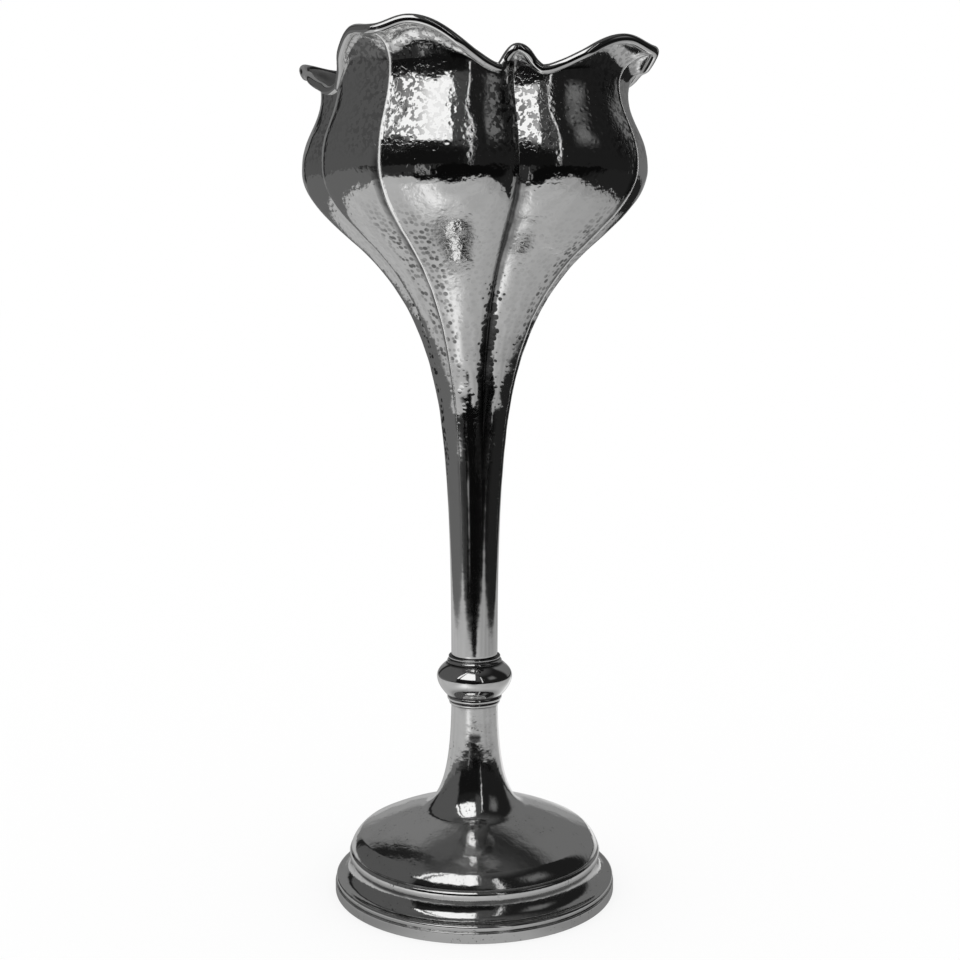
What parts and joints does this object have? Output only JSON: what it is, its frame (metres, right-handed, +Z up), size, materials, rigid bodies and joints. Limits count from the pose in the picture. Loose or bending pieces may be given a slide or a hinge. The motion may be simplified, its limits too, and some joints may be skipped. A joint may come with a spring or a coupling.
{
  "type": "flower vase",
  "caption": "Tall hammered silver vase for cut flowers: a petal-shaped tulip bowl with a wired wavy lip on a hollow stem, a turned knop and a stepped dome foot.",
  "frame": {"origin": "centre of the foot's underside, on the table", "axes": "+Z up along the stem; a petal's rib towards each of +X, +Y, -X and -Y, with the two petals that the picture shows whole towards -Y and +X"},
  "size_m": [0.1005, 0.0956, 0.2171],
  "materials": {
    "hammered_silver": "silver, hammered all over and polished, fading to smooth down the stem",
    "polished_silver": "silver, polished, with fine wear",
    "inner_silver": "silver, unpolished, out of sight"
  },
  "bodies": {
    "root": {"petal_body": "hammered_silver", "rim_wire": "polished_silver", "stem_seal_disc": "inner_silver", "joint_sleeve": "inner_silver", "knop_top_collar": "polished_silver", "knop_bead": "polished_silver", "knop_lower_collar": "polished_silver", "foot_dome": "polished_silver", "shoulder_wire": "polished_silver", "foot_plinth": "polished_silver", "foot_wire": "polished_silver"}
  },
  "joints": []
}
